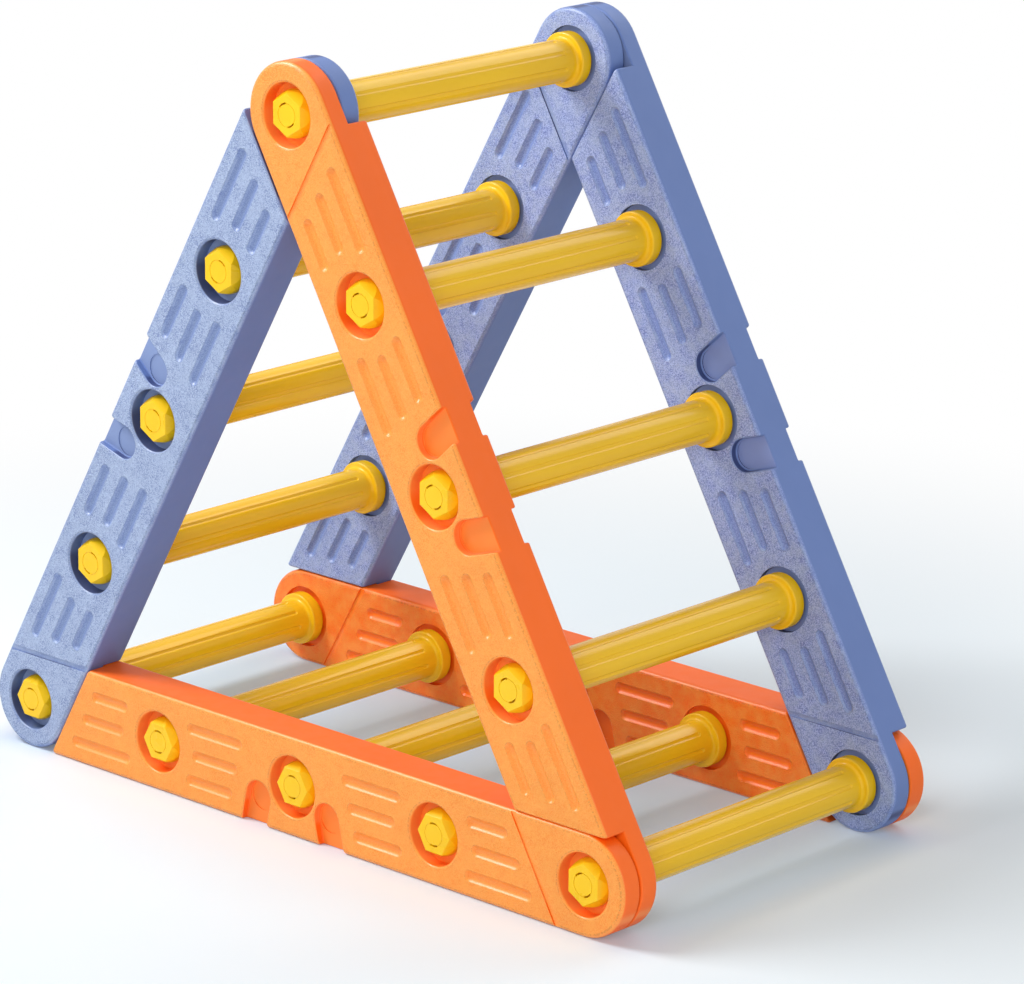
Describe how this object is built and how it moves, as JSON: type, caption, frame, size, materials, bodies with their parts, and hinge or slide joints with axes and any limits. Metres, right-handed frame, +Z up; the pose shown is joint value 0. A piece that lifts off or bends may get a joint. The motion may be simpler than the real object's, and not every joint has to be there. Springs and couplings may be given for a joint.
{
  "type": "climbing triangle",
  "caption": "Free-standing toddler's climbing triangle: two lapped triangular side frames of moulded plastic beams joined by fluted round rungs that hex-headed bolts hold.",
  "frame": {"origin": "on the floor under the middle of the triangle, half-way between the side frames", "axes": "+X along the base, +Y across from the near side frame to the far one, +Z up"},
  "size_m": [0.725, 0.367, 0.6393],
  "materials": {
    "blue_beam": "satin",
    "orange_beam": "satin",
    "rung": "gloss",
    "bolt": "gloss"
  },
  "bodies": {
    "frame": {"near_left_beam": "blue_beam", "near_right_beam": "orange_beam", "near_base_beam": "orange_beam", "far_left_beam": "blue_beam", "far_right_beam": "blue_beam", "far_base_beam": "orange_beam", "rung_top_corner": "rung", "rung_left_corner": "rung", "rung_right_corner": "rung", "rung_left_upper": "rung", "rung_left_middle": "rung", "rung_left_lower": "rung", "rung_right_upper": "rung", "rung_right_middle": "rung", "rung_right_lower": "rung", "rung_base_left": "rung", "rung_base_middle": "rung", "rung_base_right": "rung"},
    "bolt_near_top_corner": {"bolt_near_top_corner": "bolt"},
    "bolt_near_left_corner": {"bolt_near_left_corner": "bolt"},
    "bolt_near_right_corner": {"bolt_near_right_corner": "bolt"},
    "bolt_near_left_upper": {"bolt_near_left_upper": "bolt"},
    "bolt_near_left_middle": {"bolt_near_left_middle": "bolt"},
    "bolt_near_left_lower": {"bolt_near_left_lower": "bolt"},
    "bolt_near_right_upper": {"bolt_near_right_upper": "bolt"},
    "bolt_near_right_middle": {"bolt_near_right_middle": "bolt"},
    "bolt_near_right_lower": {"bolt_near_right_lower": "bolt"},
    "bolt_near_base_left": {"bolt_near_base_left": "bolt"},
    "bolt_near_base_middle": {"bolt_near_base_middle": "bolt"},
    "bolt_near_base_right": {"bolt_near_base_right": "bolt"},
    "bolt_far_top_corner": {"bolt_far_top_corner": "bolt"},
    "bolt_far_left_corner": {"bolt_far_left_corner": "bolt"},
    "bolt_far_right_corner": {"bolt_far_right_corner": "bolt"},
    "bolt_far_left_upper": {"bolt_far_left_upper": "bolt"},
    "bolt_far_left_middle": {"bolt_far_left_middle": "bolt"},
    "bolt_far_left_lower": {"bolt_far_left_lower": "bolt"},
    "bolt_far_right_upper": {"bolt_far_right_upper": "bolt"},
    "bolt_far_right_middle": {"bolt_far_right_middle": "bolt"},
    "bolt_far_right_lower": {"bolt_far_right_lower": "bolt"},
    "bolt_far_base_left": {"bolt_far_base_left": "bolt"},
    "bolt_far_base_middle": {"bolt_far_base_middle": "bolt"},
    "bolt_far_base_right": {"bolt_far_base_right": "bolt"}
  },
  "joints": [
    {"name": "bolt_near_top_corner_turn", "type": "hinge", "parent": "frame", "child": "bolt_near_top_corner", "pos_m": [0, -0.171, 0.59676], "axis": [0, -1, 0], "range_deg": [0, 3456]},
    {"name": "bolt_near_left_corner_turn", "type": "hinge", "parent": "frame", "child": "bolt_near_left_corner", "pos_m": [-0.32, -0.171, 0.0425], "axis": [0, -1, 0], "range_deg": [0, 3456]},
    {"name": "bolt_near_right_corner_turn", "type": "hinge", "parent": "frame", "child": "bolt_near_right_corner", "pos_m": [0.32, -0.171, 0.0425], "axis": [0, -1, 0], "range_deg": [0, 3456]},
    {"name": "bolt_near_left_upper_turn", "type": "hinge", "parent": "frame", "child": "bolt_near_left_upper", "pos_m": [-0.08, -0.171, 0.45819], "axis": [0, -1, 0], "range_deg": [0, 3456]},
    {"name": "bolt_near_left_middle_turn", "type": "hinge", "parent": "frame", "child": "bolt_near_left_middle", "pos_m": [-0.16, -0.171, 0.31963], "axis": [0, -1, 0], "range_deg": [0, 3456]},
    {"name": "bolt_near_left_lower_turn", "type": "hinge", "parent": "frame", "child": "bolt_near_left_lower", "pos_m": [-0.24, -0.171, 0.18106], "axis": [0, -1, 0], "range_deg": [0, 3456]},
    {"name": "bolt_near_right_upper_turn", "type": "hinge", "parent": "frame", "child": "bolt_near_right_upper", "pos_m": [0.08, -0.171, 0.45819], "axis": [0, -1, 0], "range_deg": [0, 3456]},
    {"name": "bolt_near_right_middle_turn", "type": "hinge", "parent": "frame", "child": "bolt_near_right_middle", "pos_m": [0.16, -0.171, 0.31963], "axis": [0, -1, 0], "range_deg": [0, 3456]},
    {"name": "bolt_near_right_lower_turn", "type": "hinge", "parent": "frame", "child": "bolt_near_right_lower", "pos_m": [0.24, -0.171, 0.18106], "axis": [0, -1, 0], "range_deg": [0, 3456]},
    {"name": "bolt_near_base_left_turn", "type": "hinge", "parent": "frame", "child": "bolt_near_base_left", "pos_m": [-0.16, -0.171, 0.0425], "axis": [0, -1, 0], "range_deg": [0, 3456]},
    {"name": "bolt_near_base_middle_turn", "type": "hinge", "parent": "frame", "child": "bolt_near_base_middle", "pos_m": [0, -0.171, 0.0425], "axis": [0, -1, 0], "range_deg": [0, 3456]},
    {"name": "bolt_near_base_right_turn", "type": "hinge", "parent": "frame", "child": "bolt_near_base_right", "pos_m": [0.16, -0.171, 0.0425], "axis": [0, -1, 0], "range_deg": [0, 3456]},
    {"name": "bolt_far_top_corner_turn", "type": "hinge", "parent": "frame", "child": "bolt_far_top_corner", "pos_m": [0, 0.171, 0.59676], "axis": [0, 1, 0], "range_deg": [0, 3456]},
    {"name": "bolt_far_left_corner_turn", "type": "hinge", "parent": "frame", "child": "bolt_far_left_corner", "pos_m": [-0.32, 0.171, 0.0425], "axis": [0, 1, 0], "range_deg": [0, 3456]},
    {"name": "bolt_far_right_corner_turn", "type": "hinge", "parent": "frame", "child": "bolt_far_right_corner", "pos_m": [0.32, 0.171, 0.0425], "axis": [0, 1, 0], "range_deg": [0, 3456]},
    {"name": "bolt_far_left_upper_turn", "type": "hinge", "parent": "frame", "child": "bolt_far_left_upper", "pos_m": [-0.08, 0.171, 0.45819], "axis": [0, 1, 0], "range_deg": [0, 3456]},
    {"name": "bolt_far_left_middle_turn", "type": "hinge", "parent": "frame", "child": "bolt_far_left_middle", "pos_m": [-0.16, 0.171, 0.31963], "axis": [0, 1, 0], "range_deg": [0, 3456]},
    {"name": "bolt_far_left_lower_turn", "type": "hinge", "parent": "frame", "child": "bolt_far_left_lower", "pos_m": [-0.24, 0.171, 0.18106], "axis": [0, 1, 0], "range_deg": [0, 3456]},
    {"name": "bolt_far_right_upper_turn", "type": "hinge", "parent": "frame", "child": "bolt_far_right_upper", "pos_m": [0.08, 0.171, 0.45819], "axis": [0, 1, 0], "range_deg": [0, 3456]},
    {"name": "bolt_far_right_middle_turn", "type": "hinge", "parent": "frame", "child": "bolt_far_right_middle", "pos_m": [0.16, 0.171, 0.31963], "axis": [0, 1, 0], "range_deg": [0, 3456]},
    {"name": "bolt_far_right_lower_turn", "type": "hinge", "parent": "frame", "child": "bolt_far_right_lower", "pos_m": [0.24, 0.171, 0.18106], "axis": [0, 1, 0], "range_deg": [0, 3456]},
    {"name": "bolt_far_base_left_turn", "type": "hinge", "parent": "frame", "child": "bolt_far_base_left", "pos_m": [-0.16, 0.171, 0.0425], "axis": [0, 1, 0], "range_deg": [0, 3456]},
    {"name": "bolt_far_base_middle_turn", "type": "hinge", "parent": "frame", "child": "bolt_far_base_middle", "pos_m": [0, 0.171, 0.0425], "axis": [0, 1, 0], "range_deg": [0, 3456]},
    {"name": "bolt_far_base_right_turn", "type": "hinge", "parent": "frame", "child": "bolt_far_base_right", "pos_m": [0.16, 0.171, 0.0425], "axis": [0, 1, 0], "range_deg": [0, 3456]}
  ]
}
